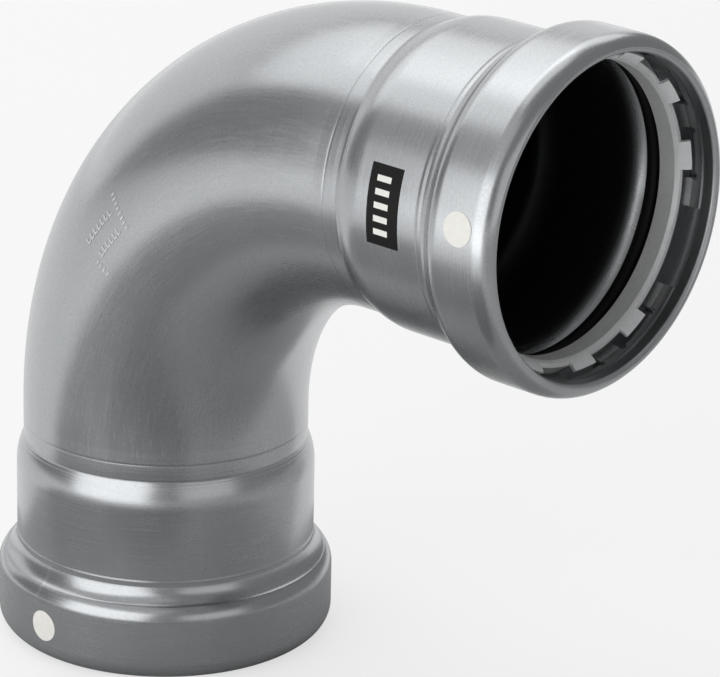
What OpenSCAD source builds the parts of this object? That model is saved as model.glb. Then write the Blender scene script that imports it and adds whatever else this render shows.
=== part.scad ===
// Ninety degree press elbow for steel pipe: one formed tube with a press socket at each end.
// Each socket's bead holds a rubber seal, a separator ring and a split grip ring.
// The origin is on the lower socket's axis, at the end of its bore where the pipe stop begins.
// The lower mouth faces down, -Z, and the upper mouth faces +X.

/* [Pipe socket] */
// Bore of both pipe sockets
socket_bore_d = 74.1; // [60:0.1:90]
// Wall thickness of the formed tube, the same all along
wall = 2.9; // [2.2:0.1:3.6]
// Depth from the mouth to where the bore narrows, which is the pipe stop
socket_depth = 46; // [40:0.5:60]
// Radial step from the socket bore in to the tube bore, which stops the pipe
stop_step = 1.9; // [1.2:0.1:3]
// Inside radius where the socket wall turns in at the pipe stop
stop_round = 14.1; // [4:0.1:20]
// Outside radius where that shoulder runs out into the tube
stop_fillet = 2.5; // [2:0.1:9]

/* [Bend] */
// Bend radius at the middle of the tube
bend_r = 86.3; // [65:0.1:140]
// Angle through which the tube turns
bend_angle = 90; // [30:5:90]
// Straight tube between each socket's shoulder and the bend
stub_len = 8.7; // [2:0.1:30]

/* [Bead] */
// Radial rise from the socket bore out to the bead's chamber
bead_rise = 5.05; // [4.6:0.05:5.8]
// Length from the mouth to where the bead starts to narrow
bead_len = 16.5; // [15.5:0.1:22]
// Inside radius where the bead turns in towards the socket
bead_round = 2.8; // [2.4:0.1:4]
// Outside radius where the bead's neck meets the socket
neck_fillet = 7; // [5:0.1:8]
// Inside radius of the rolled lip
lip_round = 2.4; // [1.8:0.1:3]
// Thickness of the rolled lip along the axis
lip_t = 4.1; // [3.2:0.1:4.5]
// How far the rolled lip reaches in from the chamber wall
lip_reach = 1.6; // [1.2:0.1:2.2]
// Rounding of the lip's front edge at the mouth
lip_edge_round = 1.2; // [0.6:0.1:1.5]

/* [Seal] */
// How far the seal's lip stands in from the socket bore
seal_lip = 0.2; // [0.1:0.05:0.25]
// How far the lip has opened out by the middle of the groove behind it
seal_taper = 0.9; // [0.4:0.05:1.2]
// Radius of the groove round the inside of the seal
seal_groove_r = 2.1; // [1.7:0.1:2.3]
// Distance from the seal's face to the middle of the groove
seal_groove_set = 2.5; // [2.2:0.1:2.8]
// Distance from the lip's end to the socket's straight bore
seal_tip_gap = 2.2; // [1.8:0.1:3]

/* [Separator ring] */
// Sheet thickness of the separator ring
separator_t = 0.9; // [0.6:0.1:1.2]
// How far the band stands in from the socket bore
separator_inset = 0.05; // [0:0.05:0.2]
// Length of the band from the seal to the ridge where it flares
band_len = 4.65; // [3:0.05:5]
// Distance from the seal's face to where the bead starts to narrow
seal_seat = 1.3; // [1:0.1:2]
// Radius of the flare of the rim and its fingers
flare_r = 7.7; // [6:0.1:10]
// Angle of the flare at the ridge
flare_start = 20; // [10:1:25]
// Angle of the flare at the end of the fingers
flare_end = 52; // [40:1:60]
// Length of the flared rim between the fingers
rim_len = 1.2; // [0.8:0.1:2]
// Angle taken up by one finger
finger_angle = 11.2; // [6:0.1:14]

/* [Grip ring] */
// Sheet thickness of the grip ring
grip_t = 1; // [0.7:0.1:1.3]
// Number of teeth round the grip ring, with a finger of the separator ring between each two
tooth_count = 12; // [8:1:14]
// Angle taken up by one tooth
tooth_angle = 10; // [6:0.5:11]
// Angle of the gap in the split ring
split_angle = 28.4; // [16:0.1:40]
// Width of the ring's unbroken base
base_len = 2; // [1.5:0.1:2.5]
// Distance from the base to the crease where a tooth turns in
crease_len = 0.8; // [0.4:0.1:1.2]
// Length of a tooth past its crease
tooth_len = 2.6; // [2:0.1:3]
// Angle at which a tooth leans in
tooth_lean = 14; // [5:1:20]
// Radius of the relief at each side of a tooth's root
relief_r = 0.9; // [0.5:0.1:1.1]
// How far each relief bites into its tooth
relief_bite = 0.25; // [0.1:0.05:0.4]

/* [Fits] */
// Clearance between the rings and the chamber
ring_gap = 0.1; // [0.05:0.05:0.2]
// Direction of both grip rings' gaps round their socket, from the inside of the bend
split_turn = 295; // [0:1:359]

/* [Hidden] */
$fn = 96;
// How far cutters run past what they cut
over = 1;
// How far a fillet or an edge rounding runs into the rounding that it meets, so that the two arcs cross
blend = 0.0002;
edge_blend = 0.002;

// Radii of the wall's inside and outside
socket_r = socket_bore_d / 2;
chamber_r = socket_r + bead_rise;
mouth_r = chamber_r - lip_reach;
tube_out_r = socket_r - stop_step + wall;
socket_out_r = socket_r + wall;
bead_out_r = chamber_r + wall;

// A shoulder is a rounding that turns back in a fillet, and this is its length
function shoulder_len(rise, convex, concave) =
    (convex + concave) * sin(acos(1 - rise / (convex + concave)));
// A length rounded to whole micrometres, so that the legs and the bend meet exactly
function micron(length) = round(1000 * length) / 1000;

// Places along a leg, measured in from its mouth
lip_len = lip_round + wall;
lip_centre = [bead_out_r - lip_len, lip_len];
neck_end = bead_len + shoulder_len(bead_rise, bead_round + wall, neck_fillet);
stop_end = socket_depth + shoulder_len(stop_step, stop_round + wall, stop_fillet);
leg_len = micron(stop_end + stub_len);
seal_face = bead_len - seal_seat;
seal_tip = neck_end - seal_tip_gap;

// Centres of each shoulder's rounding and fillet, as radius and distance from the mouth
neck_convex = [bead_out_r - bead_round - wall, bead_len];
neck_concave = [socket_out_r + neck_fillet, neck_end];
stop_convex = [socket_out_r - stop_round - wall, socket_depth];
stop_concave = [tube_out_r + stop_fillet, stop_end];

// Where the bend starts, and the middle of the upper mouth
bend_start = leg_len - socket_depth;
upper_mouth = [
    bend_r * (1 - cos(bend_angle)) + leg_len * sin(bend_angle),
    0,
    bend_start + bend_r * sin(bend_angle) + leg_len * cos(bend_angle)
];

// Places round the grip ring, from the middle of its gap
first_tooth = (split_angle + tooth_angle) / 2;
tooth_pitch = (360 - 2 * first_tooth) / (tooth_count - 1);

steel = "#8d9296";
stainless = "#b9bcbd";
rubber = "#1b1b1c";

// Two dimensional sections have the radius along X and the distance from the mouth along Y.

// The part of a disc between two directions
module sector(r, from, to) {
    intersection() {
        circle(r);
        polygon([
            [0, 0],
            2 * r * [cos(from), sin(from)],
            2 * r * [cos(to), sin(to)]
        ]);
    }
}

// A quarter of a disc, between +X and +Y
module quarter(r) {
    intersection() {
        circle(r);
        square(r);
    }
}

// Everything inside a leg's wall from mouth to bend, set in from the outer surface.
// The block is square cornered, the roundings are added to it and the fillets are cut from it.
module leg_outline(inset) {
    bead = bead_out_r - inset;
    socket = socket_out_r - inset;
    tube = tube_out_r - inset;
    difference() {
        union() {
            polygon([
                [0, inset],
                [lip_centre[0], inset],
                lip_centre,
                [bead, lip_len],
                [bead, bead_len],
                neck_convex,
                neck_concave,
                [socket, neck_end],
                [socket, socket_depth],
                stop_convex,
                stop_concave,
                [tube, stop_end],
                [tube, leg_len],
                [0, leg_len]
            ]);
            translate(lip_centre) mirror([0, 1]) quarter(lip_len - inset);
            translate(neck_convex) quarter(bead_round + wall - inset);
            // This rounding can reach past a short stub, so it ends where the leg does
            intersection() {
                translate(stop_convex) quarter(stop_round + wall - inset);
                square([bead_out_r, leg_len]);
            }
        }
        translate(neck_concave) circle(neck_fillet + inset + blend);
        translate(stop_concave) circle(stop_fillet + inset + blend);
    }
}

// The cut wall of one leg. Its lip is thicker than the wall, and its edge rounding runs out into
// the lip's outside.
module leg_section() {
    nose_r = mouth_r + lip_edge_round;
    nose_reach = lip_len - lip_edge_round + edge_blend;
    nose = [nose_r, lip_len - sqrt(pow(nose_reach, 2) - pow(nose_r - lip_centre[0], 2))];
    nose_way = (nose - lip_centre) / norm(nose - lip_centre);
    difference() {
        leg_outline(0);
        intersection() {
            leg_outline(wall);
            translate([0, lip_t]) square([bead_out_r, leg_len]);
        }
        translate([0, -over]) square([mouth_r, lip_t + 2 * over]);
        difference() {
            polygon([
                nose,
                nose + 2 * lip_edge_round * nose_way,
                [mouth_r, -over],
                [mouth_r, nose[1]]
            ]);
            translate(nose) circle(lip_edge_round);
        }
    }
}

// The bent tube between the two legs
module bend() {
    translate([bend_r, 0, bend_start])
        rotate([90, 0, 0])
            rotate([0, 0, 180 - bend_angle])
                rotate_extrude(angle = bend_angle)
                    translate([bend_r, 0])
                        difference() {
                            circle(tube_out_r);
                            circle(tube_out_r - wall);
                        }
}

// Puts a leg's parts in place: mouth at the origin and the leg along +Z before this
module at_lower_mouth() {
    translate([0, 0, -socket_depth]) children();
}

module at_upper_mouth() {
    translate(upper_mouth) rotate([180, bend_angle, 0]) children();
}

module elbow_body() {
    color(steel) {
        at_lower_mouth() rotate_extrude() leg_section();
        bend();
        at_upper_mouth() rotate_extrude() leg_section();
    }
}

// Rubber seal: fills the narrowing end of the chamber, with a groove and a sealing lip inside
module seal() {
    lip_r = socket_r - seal_lip;
    groove = [lip_r + seal_taper, seal_face + seal_groove_set];
    color(rubber) rotate_extrude() difference() {
        intersection() {
            leg_outline(wall + ring_gap);
            polygon([
                [groove[0], seal_face],
                [bead_out_r, seal_face],
                [bead_out_r, seal_tip],
                [lip_r, seal_tip],
                groove
            ]);
        }
        translate(groove) circle(seal_groove_r);
    }
}

// Separator ring: a closed band with a flange against the seal and fingers that flare outwards.
// The band and the flare lap over each other at the ridge.
module separator_ring() {
    ridge = [socket_r - separator_inset, seal_face - band_len];
    flare_centre = ridge + flare_r * [cos(flare_start), sin(flare_start)];
    finger_end = flare_centre[1] - flare_r * sin(flare_end);
    flare_lap = separator_t * sin(flare_start);
    band_lap = flare_lap / 4;
    window = tooth_pitch - finger_angle;
    split_window = 2 * first_tooth + window;
    color(stainless) difference() {
        rotate_extrude() {
            translate(ridge + [0, band_lap])
                square([separator_t, band_len - band_lap - separator_t / 2]);
            translate([ridge[0], seal_face - separator_t])
                square([chamber_r - ring_gap - ridge[0], separator_t]);
            difference() {
                intersection() {
                    translate(flare_centre) sector(flare_r, 180, 180 + flare_end);
                    translate(ridge - [0, flare_r]) square([flare_r, flare_r + flare_lap]);
                }
                translate(flare_centre) circle(flare_r - separator_t);
            }
        }
        for (i = [1 : tooth_count - 2])
            flare_window(first_tooth + i * tooth_pitch - window / 2, window, ridge, finger_end);
        flare_window(-split_window / 2, split_window, ridge, finger_end);
    }
}

// Clears the flare from the end of the fingers to the rim, from one direction through an angle
module flare_window(from, angle, ridge, finger_end) {
    rotate([0, 0, split_turn + from])
        rotate_extrude(angle = angle)
            translate([ridge[0] - over, finger_end - over])
                square([chamber_r - ridge[0] + over, ridge[1] - rim_len - finger_end + over]);
}

// Grip ring: a split ring behind the lip, with teeth that turn in towards the pipe
module grip_ring() {
    base_r = chamber_r - ring_gap - grip_t;
    root = lip_len + base_len;
    crease = [base_r, root + crease_len];
    tip = crease + tooth_len * [-sin(tooth_lean), cos(tooth_lean)];
    notch = tooth_pitch - tooth_angle;
    relief_turn = asin((relief_r - relief_bite) / base_r);
    color(stainless) difference() {
        rotate([0, 0, split_turn + split_angle / 2])
            rotate_extrude(angle = 360 - split_angle)
                polygon([
                    [base_r, lip_len],
                    [base_r + grip_t, lip_len],
                    [base_r + grip_t, crease[1] + grip_t * tan(tooth_lean / 2)],
                    tip + grip_t * [cos(tooth_lean), sin(tooth_lean)],
                    tip,
                    crease
                ]);
        for (i = [0 : tooth_count - 2])
            rotate([0, 0, split_turn + first_tooth + tooth_angle / 2 + i * tooth_pitch]) {
                rotate_extrude(angle = notch)
                    translate([tip[0] - over, root])
                        square([chamber_r - tip[0] + over, tip[1] - root + grip_t + over]);
                for (turn = [relief_turn, notch - relief_turn])
                    rotate([0, 0, turn])
                        translate([base_r - over, 0, root])
                            rotate([0, 90, 0])
                                cylinder(r = relief_r, h = grip_t + 2 * over);
            }
    }
}

module lower_seal() {
    at_lower_mouth() seal();
}

module lower_separator_ring() {
    at_lower_mouth() separator_ring();
}

module lower_grip_ring() {
    at_lower_mouth() grip_ring();
}

module upper_seal() {
    at_upper_mouth() seal();
}

module upper_separator_ring() {
    at_upper_mouth() separator_ring();
}

module upper_grip_ring() {
    at_upper_mouth() grip_ring();
}

elbow_body();
lower_seal();
lower_separator_ring();
lower_grip_ring();
upper_seal();
upper_separator_ring();
upper_grip_ring();
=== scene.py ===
import math

import bmesh
import bpy
from mathutils import Matrix, Vector


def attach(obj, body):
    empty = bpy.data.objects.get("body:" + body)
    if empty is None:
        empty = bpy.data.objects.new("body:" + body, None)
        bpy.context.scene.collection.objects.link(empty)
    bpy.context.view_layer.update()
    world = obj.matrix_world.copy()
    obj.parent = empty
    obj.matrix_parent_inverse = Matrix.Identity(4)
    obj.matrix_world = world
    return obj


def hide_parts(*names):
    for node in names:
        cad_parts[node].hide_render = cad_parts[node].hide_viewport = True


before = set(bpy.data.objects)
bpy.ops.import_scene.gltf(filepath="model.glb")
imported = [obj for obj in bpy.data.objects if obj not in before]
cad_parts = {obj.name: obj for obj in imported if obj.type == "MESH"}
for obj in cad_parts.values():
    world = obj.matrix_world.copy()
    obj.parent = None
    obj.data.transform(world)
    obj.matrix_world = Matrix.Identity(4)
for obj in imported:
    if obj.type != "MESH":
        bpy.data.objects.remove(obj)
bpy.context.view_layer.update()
scene = bpy.context.scene
scene.view_settings.view_transform = "Standard"
MM = 0.001

# Sizes of the part in millimetres, with the names that they have in its source
SOCKET_BORE_D = 74.1
WALL = 2.9
SOCKET_DEPTH = 46.0
STOP_STEP = 1.9
STOP_ROUND = 14.1
STOP_FILLET = 2.5
BEND_R = 86.3
STUB_LEN = 8.7
BEAD_RISE = 5.05
BEAD_LEN = 16.5
BEAD_ROUND = 2.8
NECK_FILLET = 7.0
LIP_ROUND = 2.4
LIP_T = 4.1
LIP_REACH = 1.6
LIP_EDGE_ROUND = 1.2
SEAL_LIP = 0.2
SEAL_TAPER = 0.9
SEAL_GROOVE_R = 2.1
SEAL_GROOVE_SET = 2.5
SEAL_SEAT = 1.3
RING_GAP = 0.1

# Radii of the wall's inside and outside
SOCKET_R = SOCKET_BORE_D / 2
CHAMBER_R = SOCKET_R + BEAD_RISE
MOUTH_R = CHAMBER_R - LIP_REACH
TUBE_OUT_R = SOCKET_R - STOP_STEP + WALL
SOCKET_OUT_R = SOCKET_R + WALL
BEAD_OUT_R = CHAMBER_R + WALL

# How far the shoulders at the neck and at the pipe stop turn, in degrees
NECK_RADII = BEAD_ROUND + WALL + NECK_FILLET
STOP_RADII = STOP_ROUND + WALL + STOP_FILLET
NECK_TURN = math.degrees(math.acos(1 - BEAD_RISE / NECK_RADII))
STOP_TURN = math.degrees(math.acos(1 - STOP_STEP / STOP_RADII))

# Places along a leg, measured in from its mouth
NECK_END = BEAD_LEN + NECK_RADII * math.sin(math.radians(NECK_TURN))
STOP_END = SOCKET_DEPTH + STOP_RADII * math.sin(math.radians(STOP_TURN))
LEG_LEN = round(STOP_END + STUB_LEN, 3)
LIP_LEN = LIP_ROUND + WALL
SEAL_FACE = BEAD_LEN - SEAL_SEAT

# Centres of the roundings and fillets, as radius and distance from the mouth
LIP_CENTRE = (BEAD_OUT_R - LIP_LEN, LIP_LEN)
NECK_CONVEX = (BEAD_OUT_R - BEAD_ROUND - WALL, BEAD_LEN)
NECK_CONCAVE = (SOCKET_OUT_R + NECK_FILLET, NECK_END)
STOP_CONVEX = (SOCKET_OUT_R - STOP_ROUND - WALL, SOCKET_DEPTH)
STOP_CONCAVE = (TUBE_OUT_R + STOP_FILLET, STOP_END)
SEAL_GROOVE = (SOCKET_R - SEAL_LIP + SEAL_TAPER, SEAL_FACE + SEAL_GROOVE_SET)

# The bend, and the whole tube when it is laid straight
BEND_LEN = BEND_R * math.pi / 2
BEND_START = LEG_LEN - SOCKET_DEPTH
BEND_CENTRE = Vector((BEND_R, 0, BEND_START)) * MM
MIDDLE = BEND_START + BEND_LEN / 2
HALF_LEN = LEG_LEN + BEND_LEN / 2
FLOOR_Z = -SOCKET_DEPTH

# Details of the outside that are finer than in the source, in millimetres and degrees
PRESS_LINE = 58.6
PRESS_LINE_DEPTH = 0.03
PRESS_LINE_ABOVE = 0.4
PRESS_LINE_BELOW = 0.3
STOP_CREASE_TURN = 31.5
STOP_EDGE_TURN = 24.4
NECK_STEP = 27.05
NECK_STEP_LEN = 0.55
NECK_STEP_RISE = 0.105
NECK_STEP_TURN = 10.18
NECK_TIGHT_TURN = 48.01
RIDGE_FILLET = 2.5
RIDGE_TURN = 22.0
BEAD_EDGE_TURN = 49.5

# The seal's lip as the photograph shows it, shorter than in the source
SEAL_TIP_R = 38.45
SEAL_TIP = 20.4
SEAL_GROOVE_TURN = 154.0

# Faces round a socket, and along the bend
AROUND = 144
BEND_STEPS = 60
# Short edges at the ends of a profile's lines: usual ones, fine ones and those at a crease
SUPPORT = 0.4
FINE_SUPPORT = 0.05
CREASE_SUPPORT = 0.01


def linear(hex_colour):
    """A colour written as sRGB hex, as the linear colour that shaders take."""
    parts = [int(hex_colour[i:i + 2], 16) / 255 for i in (1, 3, 5)]
    return [c / 12.92 if c <= 0.04045 else ((c + 0.055) / 1.055) ** 2.4 for c in parts] + [1.0]


def fill(tree, node, values):
    """Sets a node's inputs by name or in order, and links those whose value is another node's output."""
    for socket, value in values.items() if isinstance(values, dict) else enumerate(values):
        if isinstance(value, bpy.types.NodeSocket):
            tree.links.new(value, node.inputs[socket])
        else:
            node.inputs[socket].default_value = value


def add_node(tree, kind, values=(), out=0, **settings):
    """Adds a shader node with its settings and links, and returns one of its outputs."""
    node = tree.nodes.new("ShaderNode" + kind)
    for name, value in settings.items():
        setattr(node, name, value)
    fill(tree, node, values)
    return node.outputs[out]


def new_material(name, values):
    """A material with one principled shader. Returns it, its node tree and that shader."""
    material = bpy.data.materials.new(name)
    material.use_nodes = True
    tree = material.node_tree
    shader = tree.nodes["Principled BSDF"]
    fill(tree, shader, values)
    return material, tree, shader


def grain(tree, vector, patch, detail=3.0):
    """A pattern from 0 to 1 whose patches have that size in millimetres, in each direction."""
    scale = [1 / (size * MM) for size in patch]
    mapped = add_node(tree, "Mapping", {"Vector": vector, "Scale": scale})
    return add_node(tree, "TexNoise", {"Vector": mapped, "Scale": 1.0, "Detail": detail})


# Satin zinc-nickel coating on formed steel tube: a soft grey shine with cloudy tones, streaked along the
# drawn bend and round the rolled sockets, dull in the bore, with painted shade in the bore and the creases.
# Its coordinates are those of the tube laid straight.
steel, tree, shader = new_material("zinc_nickel_steel", {"Metallic": 1.0})
straight = add_node(tree, "Attribute", out="Vector", attribute_name="straight")
tube_x, tube_y, tube_z = add_node(tree, "SeparateXYZ", (straight,)).node.outputs

# Streaks and grit are a few hundredths of a millimetre wide, too fine to show, so they are drawn coarser
drawn = grain(tree, straight, (0.667, 0.667, 9.09))
rolled = grain(tree, straight, (18.18, 18.18, 0.5556))
speckle = grain(tree, straight, (0.588, 0.588, 0.588), 2)
clouds = grain(tree, straight, (25, 25, 62.5), 4)
waves = grain(tree, straight, (26.3, 26.3, 62.5), 1)

# Distance from the nearer mouth, and from the tube's axis
from_middle = add_node(tree, "Math", (tube_z, MIDDLE * MM), operation="SUBTRACT")
from_middle = add_node(tree, "Math", (from_middle,), operation="ABSOLUTE")
from_mouth = add_node(tree, "Math", (HALF_LEN * MM, from_middle), operation="SUBTRACT")
across = add_node(tree, "CombineXYZ", (tube_x, tube_y))
radius = add_node(tree, "VectorMath", (across,), "Value", operation="LENGTH")

# Round marks of the rolls in the sockets give way to long marks past the stop, between these distances
ROLLED_TO = 56.0
DRAWN_FROM = 62.0
in_socket = add_node(tree, "MapRange", (from_mouth, ROLLED_TO * MM, DRAWN_FROM * MM, 0.85, 0.25))
streaks = add_node(tree, "Mix", {"Factor": in_socket, "A": drawn, "B": rolled})
# The bore and the inner edge of the lip are duller than the outside, the bore also darker as painted shade;
# these are where that fades out
BORE_FADE = (SOCKET_R + 0.25, SOCKET_R + 0.75)
LIP_FADE = (MOUTH_R + 0.1, MOUTH_R + 0.9)
LIP_DEPTH_FADE = (LIP_T + 0.9, LIP_T + 1.9)
bore_dull_and_shade = add_node(tree, "MapRange", (radius, BORE_FADE[0] * MM, BORE_FADE[1] * MM, 1.0, 0.0))
lip = add_node(tree, "Math", (
    add_node(tree, "MapRange", (radius, LIP_FADE[0] * MM, LIP_FADE[1] * MM, 1.0, 0.0)),
    add_node(tree, "MapRange", (from_mouth, LIP_DEPTH_FADE[0] * MM, LIP_DEPTH_FADE[1] * MM, 1.0, 0.0))),
    operation="MULTIPLY")

# Weld seam of the tube, which shows at the lower neck and fades at both ends
SEAM_ANGLE = -94
SEAM_HALF_WIDTH = 0.99
seam_turn = add_node(tree, "Math", (tube_y, tube_x), operation="ARCTAN2")
seam_turn = add_node(tree, "Math", (seam_turn, math.radians(SEAM_ANGLE)), operation="SUBTRACT")
seam_turn = add_node(tree, "Math", (seam_turn,), operation="ABSOLUTE")
seam = add_node(tree, "MapRange", (seam_turn, 0.0, SEAM_HALF_WIDTH / BEAD_OUT_R, 1.0, 0.0))
for low, high, low_depth, high_depth in ((-30, -27, 0.0, 1.0), (-22, -18, 1.0, 0.0)):
    reach = add_node(tree, "MapRange", (tube_z, low * MM, high * MM, low_depth, high_depth))
    seam = add_node(tree, "Math", (seam, reach), operation="MULTIPLY")

# Painted shade in the creases at the bead's ridge, the neck's step, the stop and the press line
CREASE_SHADE_REACH = 64.0
creases = add_node(tree, "ValToRGB", {
    "Fac": add_node(tree, "MapRange", (from_mouth, 0.0, CREASE_SHADE_REACH * MM, 0.0, 1.0))})
ramp = creases.node.color_ramp
ramp.elements[0].color = ramp.elements[1].color = (0, 0, 0, 1)
for place, width in ((20.9, 0.5), (26.6, 0.5), (54.2, 0.6), (PRESS_LINE, 0.4)):
    for offset, depth in ((-width, 0), (0, 1), (width, 0)):
        ramp.elements.new((place + offset) / CREASE_SHADE_REACH).color = (depth, depth, depth, 1)
# The crease mask darkens the colour below: painted shade in the creases, made patchy by the clouds
crease_shade = add_node(tree, "Math", (
    creases, add_node(tree, "MapRange", (clouds, 0.35, 0.65, 0.05, 0.5))), operation="MULTIPLY")

shade = 0.0
for pattern, weight in ((seam, 0.3), (speckle, 0.35), (streaks, 0.22), (clouds, 0.5)):
    shade = add_node(tree, "Math", (pattern, weight, shade), operation="MULTIPLY_ADD")
light = add_node(tree, "MapRange", (shade, 0.3, 0.78, 0.0, 1.0))
tone = linear("#a8abae")
# Painted shade: the creases and the bore are darkened in the colour itself
for mask, colour in ((light, "#bfc1c2"), (crease_shade, "#5c5d5f"), (bore_dull_and_shade, "#626364")):
    tone = add_node(tree, "Mix", {"Factor": mask, "A": tone, "B": linear(colour)}, "Result", data_type="RGBA")
rough = add_node(tree, "MapRange", (streaks, 0.3, 0.7, 0.2, 0.26))
for pattern, weight in ((clouds, 0.06), (bore_dull_and_shade, 0.15), (lip, 0.12)):
    rough = add_node(tree, "Math", (pattern, weight, rough), operation="MULTIPLY_ADD")
# Waves of the forming, marks of the tools with the seam over them, and grit, each with its depth
relief = {}
for height, depth in (
        (add_node(tree, "Math", (waves, in_socket), operation="MULTIPLY"), 0.36),
        (add_node(tree, "Math", (seam, 16.0, streaks), operation="MULTIPLY_ADD"), 0.0025),
        (speckle, 0.003)):
    relief["Normal"] = add_node(tree, "Bump", {
        "Height": height, "Strength": 1.0, "Distance": depth * MM, **relief})
fill(tree, shader, {"Base Color": tone, "Roughness": rough, **relief})

# Size of the broad patches in the other materials
BROAD_PATCH = 11.1


def small_material(name, low, high, rough, patch, depth, values):
    """A material whose colour, roughness and surface vary with a fine and a broad pattern, in millimetres."""
    material, tree, shader = new_material(name, values)
    place = add_node(tree, "TexCoord", out="Object")
    fine = grain(tree, place, [patch] * 3)
    broad = grain(tree, place, [BROAD_PATCH] * 3, 2)
    mixed = add_node(tree, "Mix", {"Factor": 0.5, "A": fine, "B": broad})
    light = add_node(tree, "MapRange", (mixed, 0.3, 0.7, 0.0, 1.0))
    colours = {"Factor": light, "A": linear(low), "B": linear(high)}
    fill(tree, shader, {
        "Base Color": add_node(tree, "Mix", colours, "Result", data_type="RGBA"),
        "Roughness": add_node(tree, "MapRange", (mixed, 0.3, 0.7, rough - 0.06, rough + 0.06)),
        "Normal": add_node(tree, "Bump", {"Height": fine, "Strength": 1.0, "Distance": depth * MM})})
    return material


# The patches of these are coarser than the real grit too, so that they show
# Moulded black rubber: deep black, with next to no shine
rubber = small_material(
    "black_rubber", "#070708", "#0d0d0e", rough=0.45, patch=0.625, depth=0.003,
    values={"Specular IOR Level": 0.2})
# Pressed stainless sheet: pale and even, with a soft shine
stainless = small_material(
    "stainless_sheet", "#dcddde", "#ecedee", rough=0.4, patch=1.11, depth=0.003, values={"Metallic": 0.2})
# Hardened stainless strip: darker, showing what is round it
strip = small_material(
    "stainless_strip", "#a6a7a8", "#babbbc", rough=0.38, patch=0.909, depth=0.003, values={"Metallic": 1.0})
# Marking paint: warm white and a little uneven
paint = small_material("marking_paint", "#e6e5df", "#efeee9", rough=0.45, patch=1.43, depth=0.006, values={})
# Printed label: flat black
label_black = small_material(
    "label_black", "#070707", "#0e0e0e", rough=0.5, patch=0.769, depth=0.003,
    values={"Specular IOR Level": 0.2})
# Steel that a laser has frosted: paler than the tube, with no shine
etched = small_material(
    "etched_steel", "#c6c7c8", "#dadbdc", rough=0.6, patch=0.667, depth=0.004, values={"Metallic": 0.5})

LOOKS = {"elbow_body": steel, "lower_seal": rubber, "upper_seal": rubber,
         "lower_separator_ring": stainless, "upper_separator_ring": stainless,
         "lower_grip_ring": strip, "upper_grip_ring": strip}
for name, material in LOOKS.items():
    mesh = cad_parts[name].data
    mesh.materials.clear()
    mesh.materials.append(material)


def finish_mesh(bm, name, material, sharp=40):
    """Turns a bmesh into an object with smooth faces, and creases at edges of more than that angle."""
    bmesh.ops.remove_doubles(bm, verts=bm.verts, dist=0.002 * MM)
    bmesh.ops.recalc_face_normals(bm, faces=bm.faces)
    for face in bm.faces:
        face.smooth = True
    mesh = bpy.data.meshes.new(name)
    bm.to_mesh(mesh)
    bm.free()
    mesh.set_sharp_from_angle(angle=math.radians(sharp))
    mesh.materials.append(material)
    piece = bpy.data.objects.new(name, mesh)
    scene.collection.objects.link(piece)
    return piece


def start_profile(bm, r, s):
    """The first vertex of a profile, at radius r and distance s from the mouth."""
    return bmesh.ops.create_vert(bm, co=(r * MM, 0, s * MM))["vert"][0]


def line(bm, vert, r, s, support=SUPPORT):
    """Draws the profile on to radius r and distance s from the mouth, with short edges at both ends."""
    start, end = vert.co.copy(), Vector((r, 0, s)) * MM
    share = min(support * MM / (end - start).length, 0.3)
    for place in (share, 1 - share, 1):
        vert = bmesh.ops.extrude_vert_indiv(bm, verts=[vert])["verts"][0]
        bmesh.ops.translate(bm, verts=[vert], vec=start.lerp(end, place) - vert.co)
    return vert


def arc(bm, vert, centre, degrees, steps):
    """Draws the profile on along an arc about a centre, plus from r towards s."""
    made = bmesh.ops.spin(bm, geom=[vert], cent=(centre[0] * MM, 0, centre[1] * MM), axis=(0, -1, 0),
                          angle=math.radians(degrees), steps=steps)
    return made["geom_last"][0]


def on_arc(centre, radius, degrees):
    """Where an arc about a centre reaches that direction, plus from r towards s."""
    angle = math.radians(degrees)
    return centre[0] + radius * math.cos(angle), centre[1] + radius * math.sin(angle)


def revolve(bm):
    """Turns a profile about the lower socket's axis, after setting its mouth in place."""
    bmesh.ops.translate(bm, verts=bm.verts, vec=(0, 0, -SOCKET_DEPTH * MM))
    bmesh.ops.spin(bm, geom=bm.verts[:] + bm.edges[:], cent=(0, 0, 0), axis=(0, 0, 1),
                   angle=math.tau, steps=AROUND, use_merge=True)


def swap_ends(bm, verts):
    """Turns what is in the lower socket round to the other end of the straight tube."""
    bmesh.ops.rotate(bm, verts=verts, cent=(0, 0, MIDDLE * MM), matrix=Matrix.Rotation(math.pi, 3, "X"))


def bend(point):
    """Where a point of the straight tube lies once the tube is bent."""
    past_start = point.z - BEND_CENTRE.z
    angle = min(max(past_start / (BEND_R * MM), 0), math.pi / 2)
    out = Vector((-math.cos(angle), 0, math.sin(angle)))
    on = Vector((math.sin(angle), 0, math.cos(angle)))
    return (BEND_CENTRE + (BEND_CENTRE.x - point.x) * out + (past_start - angle * BEND_R * MM) * on
            + Vector((0, point.y, 0)))


# Wall of the elbow, drawn from the bend down the outside, round the lip and up the inside
bm = bmesh.new()
pen = start_profile(bm, TUBE_OUT_R, LEG_LEN)
# Line that the press tool left above the stop
pen = line(bm, pen, TUBE_OUT_R, PRESS_LINE + PRESS_LINE_ABOVE)
pen = line(bm, pen, TUBE_OUT_R - PRESS_LINE_DEPTH, PRESS_LINE, FINE_SUPPORT)
pen = line(bm, pen, TUBE_OUT_R, PRESS_LINE - PRESS_LINE_BELOW, FINE_SUPPORT)
pen = line(bm, pen, TUBE_OUT_R, STOP_END)
# Stop, with an edge between its crease and its round
pen = arc(bm, pen, STOP_CONCAVE, STOP_CREASE_TURN, 8)
pen = line(bm, pen, *on_arc(STOP_CONVEX, STOP_ROUND + WALL, STOP_EDGE_TURN), CREASE_SUPPORT)
pen = arc(bm, pen, STOP_CONVEX, -STOP_EDGE_TURN, 14)
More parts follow.
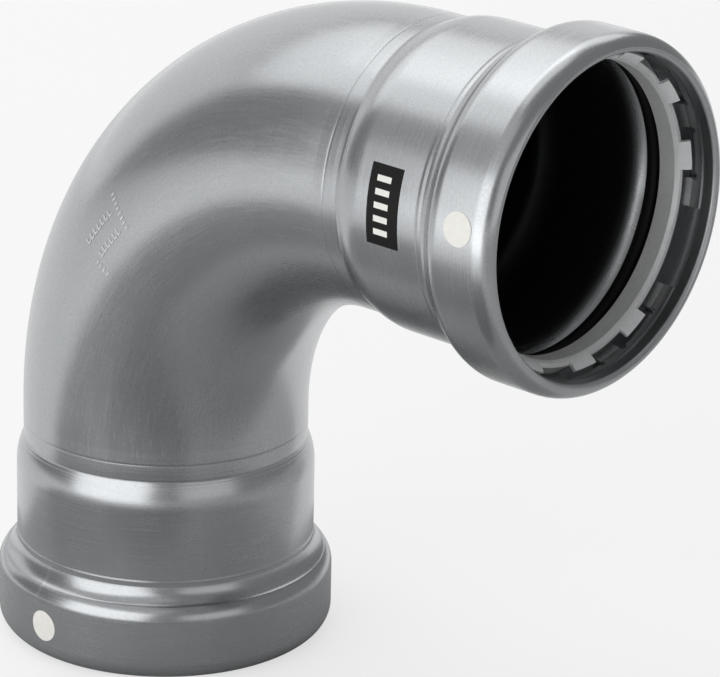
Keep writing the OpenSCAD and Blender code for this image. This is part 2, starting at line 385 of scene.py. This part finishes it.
# Neck, with a step where it starts and a ridge where it meets the bead
pen = line(bm, pen, SOCKET_OUT_R, NECK_STEP)
pen = line(bm, pen, SOCKET_OUT_R + NECK_STEP_RISE, NECK_STEP - NECK_STEP_LEN, FINE_SUPPORT)
pen = line(bm, pen, *on_arc(NECK_CONCAVE, NECK_FILLET, 180 + NECK_STEP_TURN), FINE_SUPPORT)
pen = arc(bm, pen, NECK_CONCAVE, NECK_TIGHT_TURN - NECK_STEP_TURN, 12)
pen = arc(bm, pen, on_arc(NECK_CONCAVE, NECK_FILLET - RIDGE_FILLET, 180 + NECK_TIGHT_TURN), RIDGE_TURN, 6)
pen = line(bm, pen, *on_arc(NECK_CONVEX, BEAD_ROUND + WALL, BEAD_EDGE_TURN), CREASE_SUPPORT)
pen = arc(bm, pen, NECK_CONVEX, -BEAD_EDGE_TURN, 14)
# Bead and rolled lip
pen = line(bm, pen, BEAD_OUT_R, LIP_LEN)
lip_edge_r = MOUTH_R + LIP_EDGE_ROUND
lip_turn = math.degrees(math.acos((lip_edge_r - LIP_CENTRE[0]) / (LIP_LEN - LIP_EDGE_ROUND)))
pen = arc(bm, pen, LIP_CENTRE, -lip_turn, 16)
pen = arc(bm, pen, on_arc(LIP_CENTRE, LIP_LEN - LIP_EDGE_ROUND, -lip_turn), lip_turn - 180, 10)
pen = line(bm, pen, MOUTH_R, LIP_T)
lip_back_turn = math.degrees(math.asin((LIP_LEN - LIP_T) / LIP_ROUND))
pen = line(bm, pen, *on_arc(LIP_CENTRE, LIP_ROUND, -lip_back_turn))
pen = arc(bm, pen, LIP_CENTRE, lip_back_turn, 4)
# Chamber, bore and stop
pen = line(bm, pen, CHAMBER_R, BEAD_LEN)
pen = arc(bm, pen, NECK_CONVEX, NECK_TURN, 10)
pen = arc(bm, pen, NECK_CONCAVE, -NECK_TURN, 12)
pen = line(bm, pen, SOCKET_R, SOCKET_DEPTH)
pen = arc(bm, pen, STOP_CONVEX, STOP_TURN, 10)
pen = arc(bm, pen, STOP_CONCAVE, -STOP_TURN, 6)
pen = line(bm, pen, TUBE_OUT_R - WALL, LEG_LEN)
revolve(bm)
# The other leg, and the tube between them, all straight until the whole tube is bent
end = [e for e in bm.edges if e.is_boundary]
copy = bmesh.ops.duplicate(bm, geom=bm.verts[:] + bm.edges[:] + bm.faces[:])["geom"]
swap_ends(bm, [g for g in copy if isinstance(g, bmesh.types.BMVert)])
bmesh.ops.spin(bm, geom=end + list(dict.fromkeys(v for e in end for v in e.verts)), cent=(0, 0, 0),
               axis=(0, 0, 1), dvec=(0, 0, BEND_LEN / BEND_STEPS * MM), angle=0, steps=BEND_STEPS)
layer = bm.verts.layers.float_vector.new("straight")
for vert in bm.verts:
    vert[layer] = vert.co
    vert.co = bend(vert.co)
shell = finish_mesh(bm, "elbow_shell", steel, 30)
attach(shell, "root")
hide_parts("elbow_body")

# Seals, whose lip ends where the photograph shows bare metal again
SEAL_BACK_R = NECK_FILLET + WALL + RING_GAP
SEAL_BACK_TURN = math.degrees(math.asin((NECK_END - SEAL_TIP) / SEAL_BACK_R))
for name, upper in (("lower_seal", False), ("upper_seal", True)):
    bm = bmesh.new()
    pen = start_profile(bm, SEAL_GROOVE[0], SEAL_FACE)
    pen = line(bm, pen, SEAL_GROOVE[0], SEAL_GROOVE[1] - SEAL_GROOVE_R, FINE_SUPPORT)
    pen = arc(bm, pen, SEAL_GROOVE, SEAL_GROOVE_TURN, 18)
    pen = line(bm, pen, SEAL_TIP_R, SEAL_TIP, FINE_SUPPORT)
    pen = line(bm, pen, *on_arc(NECK_CONCAVE, SEAL_BACK_R, 180 + SEAL_BACK_TURN), FINE_SUPPORT)
    pen = arc(bm, pen, NECK_CONCAVE, NECK_TURN - SEAL_BACK_TURN, 6)
    pen = arc(bm, pen, NECK_CONVEX, -NECK_TURN, 8)
    pen = line(bm, pen, CHAMBER_R - RING_GAP, SEAL_FACE)
    pen = line(bm, pen, SEAL_GROOVE[0], SEAL_FACE)
    revolve(bm)
    if upper:
        swap_ends(bm, bm.verts)
    for vert in bm.verts:
        vert.co = bend(vert.co)
    seal = finish_mesh(bm, name + "_moulding", rubber)
    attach(seal, "root")
    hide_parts(name)

# How far a mark's sheet stands off the metal, and its thickness
MARK_STAND = 0.05
MARK_T = 0.04


def mark(bm, name, material, radius, angle, along):
    """Lays a flat patch, X around and Y along, on the straight tube, bends it and adds its thickness."""
    for vert in bm.verts:
        turn = math.radians(angle) + vert.co.x / (radius * MM)
        out = (radius + MARK_STAND) * MM
        vert.co = bend(Vector((out * math.cos(turn), out * math.sin(turn), along * MM + vert.co.y)))
    bmesh.ops.recalc_face_normals(bm, faces=bm.faces)
    bmesh.ops.solidify(bm, geom=bm.faces[:], thickness=-MARK_T * MM)
    piece = finish_mesh(bm, name, material)
    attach(piece, "root")


def add_bar(bm, x, y, width, length):
    """A rectangle of a patch, X around and Y along, in millimetres."""
    made = bmesh.ops.create_grid(
        bm, x_segments=max(2, round(width)), y_segments=max(2, round(length)), size=0.5)
    bmesh.ops.scale(bm, verts=made["verts"], vec=(width * MM, length * MM, 1))
    bmesh.ops.translate(bm, verts=made["verts"], vec=(x * MM, y * MM, 0))


# Painted dot on each bead
DOT_R = 4.2
DOT_RINGS = 6
for name, angle, along in (("lower_dot", -90.6, -35.5), ("upper_dot", -97.6, 205.9)):
    bm = bmesh.new()
    vert = bmesh.ops.create_vert(bm, co=(0, 0, 0))["vert"][0]
    for _ in range(DOT_RINGS):
        vert = bmesh.ops.extrude_vert_indiv(bm, verts=[vert])["verts"][0]
        bmesh.ops.translate(bm, verts=[vert], vec=(DOT_R / DOT_RINGS * MM, 0, 0))
    bmesh.ops.spin(bm, geom=bm.verts[:] + bm.edges[:], cent=(0, 0, 0), axis=(0, 0, 1),
                   angle=math.tau, steps=64, use_merge=True)
    bmesh.ops.remove_doubles(bm, verts=bm.verts, dist=0.001 * MM)
    mark(bm, name, paint, BEAD_OUT_R, angle, along)

# Black label with plain bars on it
LABEL_ANGLE = -95.3
LABEL_ALONG = 178.1
LABEL_WIDTH = 20.0
LABEL_LEN = 9.8
BAR_PITCH = 3.3
BAR_WIDTH = 1.5
BAR_LEN = 4.4
BAR_OFFSET = -0.4
BAR_STAND = 0.08
bm = bmesh.new()
add_bar(bm, 0, 0, LABEL_WIDTH, LABEL_LEN)
mark(bm, "label", label_black, SOCKET_OUT_R, LABEL_ANGLE, LABEL_ALONG)
bm = bmesh.new()
for place in range(-2, 3):
    add_bar(bm, BAR_PITCH * place, BAR_OFFSET, BAR_WIDTH, BAR_LEN)
mark(bm, "label_bars", paint, SOCKET_OUT_R + BAR_STAND, LABEL_ANGLE, LABEL_ALONG)

# Rows of plain dashes that a laser left on the bend, two of hooked ones along it and two round it
ETCH_ANGLE = -96.0
ETCH_ALONG = 76.7
DASH_WIDTH = 0.5
HOOK_PITCH = 1.8
HOOK_LEN = 1.9
HOOK_FOOT_LEN = 1.0
HOOK_FOOT_X = 0.7
HOOK_FOOT_Y = 0.6
ROUND_PITCH = 1.4
ROUND_LEN = 1.3
bm = bmesh.new()
for x, first, count in ((-5.0, -6.3, 7), (0.6, -4.6, 6)):
    for i in range(count):
        y = first + HOOK_PITCH * i
        add_bar(bm, x, y, HOOK_LEN, DASH_WIDTH)
        add_bar(bm, x + HOOK_FOOT_X, y + HOOK_FOOT_Y, DASH_WIDTH, HOOK_FOOT_LEN)
for y, first, count in ((8.2, -8.2, 8), (-7.0, 1.2, 4)):
    for i in range(count):
        add_bar(bm, first + ROUND_PITCH * i, y, DASH_WIDTH, ROUND_LEN)
mark(bm, "etched_dashes", etched, TUBE_OUT_R, ETCH_ANGLE, ETCH_ALONG)

# Floor under the lower mouth, white behind the part and in what its metal shows
FLOOR_HALF = 4.0
FLOOR_WHITE = 0.66
bm = bmesh.new()
bmesh.ops.create_grid(bm, x_segments=1, y_segments=1, size=FLOOR_HALF)
bmesh.ops.translate(bm, verts=bm.verts, vec=(0, 0, FLOOR_Z * MM))
floor_paint, tree, shader = new_material("floor_paint", {
    "Base Color": linear("#f6f6f6"), "Roughness": 0.9, "Specular IOR Level": 0.1})
ray = add_node(tree, "LightPath").node.outputs
seen = ray["Is Camera Ray"]
for kind in ("Is Glossy Ray", "Is Transmission Ray"):
    seen = add_node(tree, "Math", (seen, ray[kind]), operation="MAXIMUM")
white = add_node(tree, "Emission", {"Color": linear("#ffffff"), "Strength": 1.0})
share = add_node(tree, "Math", (seen, FLOOR_WHITE), operation="MULTIPLY")
mixed = add_node(tree, "MixShader", (share, shader.outputs["BSDF"], white))
fill(tree, tree.nodes["Material Output"], {"Surface": mixed})
floor = finish_mesh(bm, "floor", floor_paint)

# What the lamps face
LAMP_AIM = Vector((50, 0, 50)) * MM


def softbox(name, azimuth, elevation, distance, width, height, radiance):
    """A rectangular area lamp that faces the part, seen from it in that direction, in degrees and metres."""
    lamp = bpy.data.lights.new(name, "AREA")
    lamp.shape = "RECTANGLE"
    lamp.size = width
    lamp.size_y = height
    lamp.energy = radiance * math.pi * width * height
    box = bpy.data.objects.new(name, lamp)
    scene.collection.objects.link(box)
    a, e = math.radians(azimuth), math.radians(elevation)
    away = Vector((math.cos(a) * math.cos(e), math.sin(a) * math.cos(e), math.sin(e)))
    box.location = LAMP_AIM + distance * away
    box.rotation_euler = away.to_track_quat("Z", "Y").to_euler()
    box.visible_camera = False


softbox("key_left", azimuth=-91, elevation=10, distance=0.5, width=0.56, height=0.42, radiance=1.6)
softbox("high_left", azimuth=-92, elevation=47, distance=0.75, width=0.9, height=0.5, radiance=0.36)
softbox("back_wall", azimuth=153, elevation=17, distance=0.95, width=1.6, height=0.65, radiance=0.65)
softbox("back_top", azimuth=150, elevation=57, distance=1.0, width=1.9, height=0.6, radiance=1.15)
softbox("top", azimuth=160, elevation=80, distance=1.0, width=0.8, height=0.8, radiance=0.85)
softbox("fill_front", azimuth=-14, elevation=12, distance=1.0, width=0.8, height=0.5, radiance=0.5)


def painted_shade_card(name, colour, x, y, radius, height):
    """A round grey card on the floor, painted shade of the floor for the metal to show: the metal shows it,
    and the camera does not.
    """
    card_paint = new_material(name + "_paint", {
        "Base Color": linear(colour), "Roughness": 0.9, "Specular IOR Level": 0.1})[0]
    bm = bmesh.new()
    bmesh.ops.create_circle(bm, cap_ends=True, segments=64, radius=radius * MM)
    bmesh.ops.translate(bm, verts=bm.verts, vec=(x * MM, y * MM, (FLOOR_Z + height) * MM))
    card = finish_mesh(bm, name, card_paint)
    card.visible_camera = False
    card.visible_diffuse = False
    card.visible_shadow = False


# Grey cards that darken the floor in the metal's reflections only: painted shade round the part
painted_shade_card("card_near", "#a0a0a0", x=-45, y=-195, radius=110, height=0.4)
painted_shade_card("card_mid", "#8c8c8c", x=120, y=-200, radius=120, height=0.5)
painted_shade_card("card_front", "#b6b6b6", x=65, y=-110, radius=180, height=0.3)
painted_shade_card("card_foot", "#c0c0c0", x=0, y=0, radius=95, height=0.6)
painted_shade_card("card_right", "#d8d8d8", x=1000, y=250, radius=950, height=0.2)

world = bpy.data.worlds.new("studio")
scene.world = world
world.use_nodes = True
fill(world.node_tree, world.node_tree.nodes["Background"], {"Color": linear("#ffffff"), "Strength": 0.29})

# Camera at the photograph's place, turned a little about its line of sight
CAMERA_PLACE = Vector((735.03, -733.90, 418.97)) * MM
CAMERA_AIM = Vector((66.03, 3.78, 50.45)) * MM
CAMERA_ROLL = 1.22
camera = bpy.data.objects.new("camera", bpy.data.cameras.new("camera"))
scene.collection.objects.link(camera)
scene.camera = camera
facing = (CAMERA_PLACE - CAMERA_AIM).to_track_quat("Z", "Y").to_matrix()
facing = facing @ Matrix.Rotation(math.radians(CAMERA_ROLL), 3, "Z")
camera.matrix_world = Matrix.Translation(CAMERA_PLACE) @ facing.to_4x4()
camera.data.lens = 208.07
camera.data.sensor_width = 36

bpy.context.view_layer.update()
